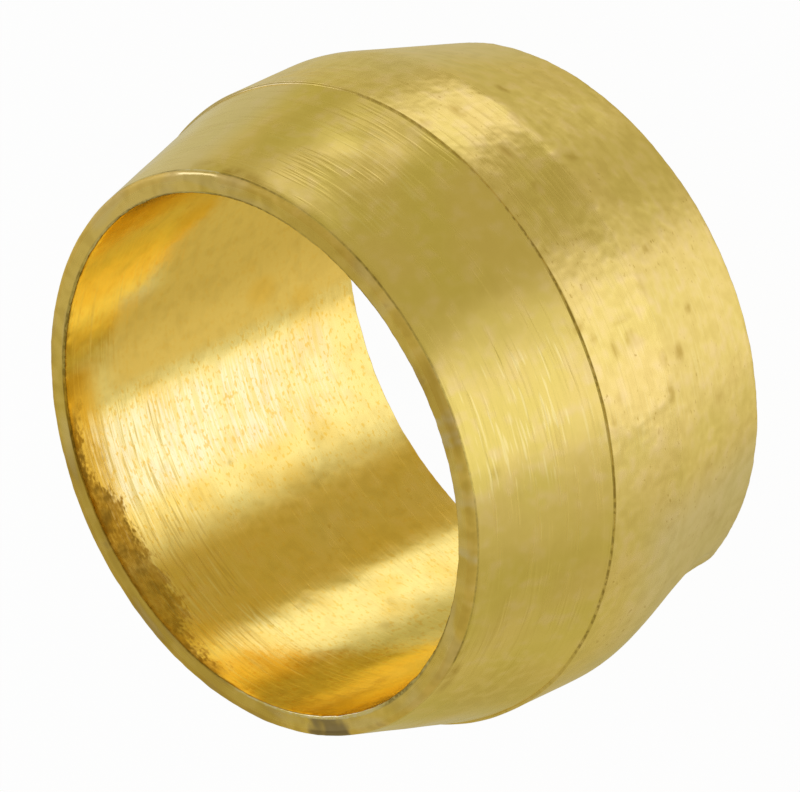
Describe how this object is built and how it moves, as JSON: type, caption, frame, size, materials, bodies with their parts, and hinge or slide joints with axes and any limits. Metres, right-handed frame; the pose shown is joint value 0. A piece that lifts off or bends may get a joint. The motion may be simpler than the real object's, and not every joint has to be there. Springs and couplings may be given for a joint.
{
  "type": "compression olive",
  "caption": "Turned brass compression ring with a plain bore, a plain land and a taper at each end, squeezed onto a pipe by a fitting's nut to seal it.",
  "frame": {"origin": "centre of the rear rim, on the ring's axis, at the surface that the ring stands on", "axes": "+Z along the bore's axis, from the rear rim up to the front rim; X and Y are equal"},
  "size_m": [0.0124, 0.0124, 0.0074],
  "materials": {
    "brass": "satin turned brass with fine tool lines, light tarnish and small pits"
  },
  "bodies": {
    "root": {"olive": "brass"}
  },
  "joints": []
}
